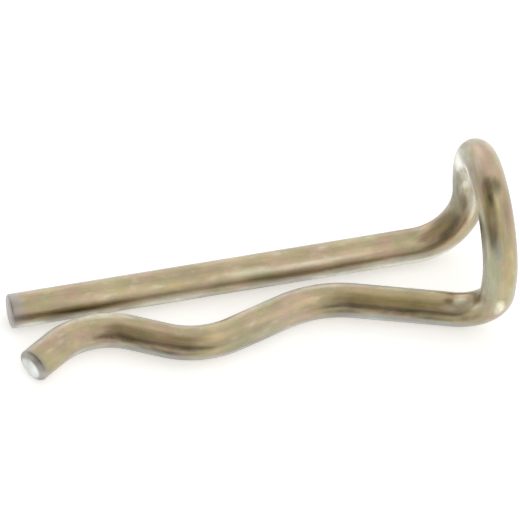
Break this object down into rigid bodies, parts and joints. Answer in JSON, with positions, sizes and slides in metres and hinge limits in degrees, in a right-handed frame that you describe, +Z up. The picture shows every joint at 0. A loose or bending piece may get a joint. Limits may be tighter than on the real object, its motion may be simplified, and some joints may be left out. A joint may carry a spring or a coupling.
{
  "type": "hairpin cotter pin",
  "caption": "Hairpin cotter of plated round wire: a straight leg for a rod's cross hole, a wave leg that springs over the rod, and a finger loop bent up square to them.",
  "frame": {"origin": "centre of the straight leg's cut end, on the leg's axis", "axes": "+X along the straight leg from its cut end to the loop, -Y towards the wave leg, +Z up the bent loop; the legs lie on the floor at Z -1.25 mm"},
  "size_m": [0.0351, 0.0121, 0.0127],
  "materials": {
    "zinc_wire": "spring steel wire with a thin yellow zinc plate, satin to half gloss, faintly rainbow tinted, bare at the cut ends"
  },
  "bodies": {
    "root": {"cotter_pin": "zinc_wire"}
  },
  "joints": []
}
